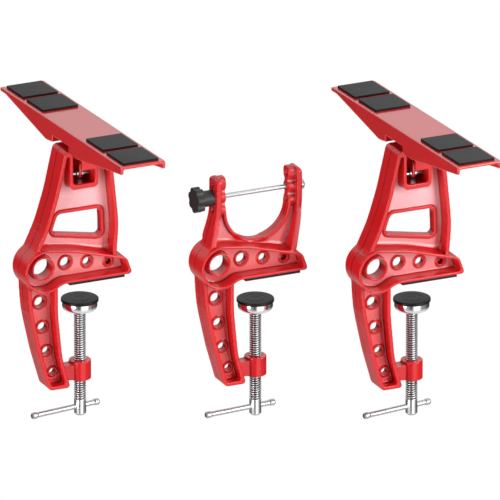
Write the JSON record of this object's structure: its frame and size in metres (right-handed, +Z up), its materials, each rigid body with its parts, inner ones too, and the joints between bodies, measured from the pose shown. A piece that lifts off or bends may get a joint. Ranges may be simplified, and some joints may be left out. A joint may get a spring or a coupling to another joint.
{
  "type": "ski waxing vise set",
  "caption": "Bench-edge clamp set that holds a ski for waxing: end supports with tilting padded rest plates and a centre vise with a U cradle and cross rod.",
  "frame": {"origin": "where the centre vise's spindle axis meets the bench face of its jaw pad", "axes": "+X along the jaws away from the hubs, +Y away from the front, along the bench edge, +Z up"},
  "size_m": [0.4191, 0.437, 0.3224],
  "materials": {
    "red_paint": "glossy red powder coat on die-cast metal",
    "rest_rubber": "dark grey rubber, matt",
    "black_rubber": "black rubber, satin",
    "black_plastic": "black moulded plastic, fine grain",
    "chrome": "chromed steel",
    "zinc_steel": "zinc plated steel",
    "brass": "turned brass"
  },
  "bodies": {
    "root": {"left_frame": "red_paint", "left_jaw_pad": "black_rubber", "left_pivot_pin": "zinc_steel", "left_pivot_washers": "zinc_steel", "left_friction_screw": "zinc_steel", "right_frame": "red_paint", "right_jaw_pad": "black_rubber", "right_pivot_pin": "zinc_steel", "right_pivot_washers": "zinc_steel", "right_friction_screw": "zinc_steel", "centre_frame": "red_paint", "centre_jaw_pad": "black_rubber", "knob_washer": "zinc_steel"},
    "left_plate": {"left_rest_plate": "red_paint", "left_pad_1": "rest_rubber", "left_pad_2": "rest_rubber", "left_pad_3": "rest_rubber", "left_pad_4": "rest_rubber"},
    "left_feed": {"left_thrust_washer": "zinc_steel"},
    "left_screw": {"left_spindle": "chrome"},
    "left_foot": {"left_foot_cup": "chrome", "left_foot_cap": "black_rubber"},
    "left_bar": {"left_cross_bar": "chrome"},
    "right_plate": {"right_rest_plate": "red_paint", "right_pad_1": "rest_rubber", "right_pad_2": "rest_rubber", "right_pad_3": "rest_rubber", "right_pad_4": "rest_rubber"},
    "right_feed": {"right_thrust_washer": "zinc_steel"},
    "right_screw": {"right_spindle": "chrome"},
    "right_foot": {"right_foot_cup": "chrome", "right_foot_cap": "black_rubber"},
    "right_bar": {"right_cross_bar": "chrome"},
    "centre_feed": {"centre_thrust_washer": "zinc_steel"},
    "centre_screw": {"centre_spindle": "chrome"},
    "centre_foot": {"centre_foot_cup": "chrome", "centre_foot_cap": "black_rubber"},
    "centre_bar": {"centre_cross_bar": "chrome"},
    "rod": {"cross_rod": "zinc_steel"},
    "knob": {"star_knob": "black_plastic", "knob_insert": "brass"}
  },
  "joints": [
    {"name": "left_foot_feed", "type": "slide", "parent": "root", "child": "left_feed", "axis": [0, 0, 1], "range_m": [-0.052, 0.02]},
    {"name": "left_screw_turn", "type": "hinge", "parent": "left_feed", "child": "left_screw", "pos_m": [-0.165, 0.0625, 0], "axis": [0, 0, 1], "range_deg": [-9364, 3604]},
    {"name": "left_foot_tilt", "type": "hinge", "parent": "left_feed", "child": "left_foot", "pos_m": [-0.165, 0.0625, -0.0321], "axis": [0, 1, 0], "range_deg": [-3, 3]},
    {"name": "left_bar_slide", "type": "slide", "parent": "left_screw", "child": "left_bar", "axis": [0.9903, 0.1392, 0], "range_m": [-0.009, 0.044]},
    {"name": "left_plate_tilt", "type": "hinge", "parent": "root", "child": "left_plate", "pos_m": [-0.165, 0.0625, 0.1117], "axis": [1, 0, 0], "range_deg": [-7, 12]},
    {"name": "right_foot_feed", "type": "slide", "parent": "root", "child": "right_feed", "axis": [0, 0, 1], "range_m": [-0.052, 0.02]},
    {"name": "right_screw_turn", "type": "hinge", "parent": "right_feed", "child": "right_screw", "pos_m": [0.138, -0.0755, 0], "axis": [0, 0, 1], "range_deg": [-9364, 3604]},
    {"name": "right_foot_tilt", "type": "hinge", "parent": "right_feed", "child": "right_foot", "pos_m": [0.138, -0.0755, -0.0321], "axis": [0, 1, 0], "range_deg": [-3, 3]},
    {"name": "right_bar_slide", "type": "slide", "parent": "right_screw", "child": "right_bar", "axis": [0.9903, 0.1392, 0], "range_m": [-0.009, 0.044]},
    {"name": "right_plate_tilt", "type": "hinge", "parent": "root", "child": "right_plate", "pos_m": [0.138, -0.0755, 0.1117], "axis": [1, 0, 0], "range_deg": [-7, 12]},
    {"name": "centre_foot_feed", "type": "slide", "parent": "root", "child": "centre_feed", "axis": [0, 0, 1], "range_m": [-0.047, 0.0245]},
    {"name": "centre_screw_turn", "type": "hinge", "parent": "centre_feed", "child": "centre_screw", "pos_m": [0, 0, 0], "axis": [0, 0, 1], "range_deg": [-8464, 4414]},
    {"name": "centre_foot_tilt", "type": "hinge", "parent": "centre_feed", "child": "centre_foot", "pos_m": [0, 0, -0.0367], "axis": [0, 1, 0], "range_deg": [-3, 3]},
    {"name": "centre_bar_slide", "type": "slide", "parent": "centre_screw", "child": "centre_bar", "axis": [0.9969, 0.0785, 0], "range_m": [-0.009, 0.044]},
    {"name": "knob_turn", "type": "hinge", "parent": "root", "child": "knob", "pos_m": [0, 0, 0.0881], "axis": [1, 0, 0], "range_deg": [-4324, 4]},
    {"name": "rod_feed", "type": "slide", "parent": "root", "child": "rod", "axis": [1, 0, 0], "range_m": [0, 0.0096]}
  ],
  "couplings": [
    {"joint": "left_screw_turn", "follows": "left_foot_feed", "rad_per_m": 3141.6},
    {"joint": "right_screw_turn", "follows": "right_foot_feed", "rad_per_m": 3141.6},
    {"joint": "centre_screw_turn", "follows": "centre_foot_feed", "rad_per_m": 3141.6},
    {"joint": "knob_turn", "follows": "rod_feed", "rad_per_m": -7854}
  ]
}
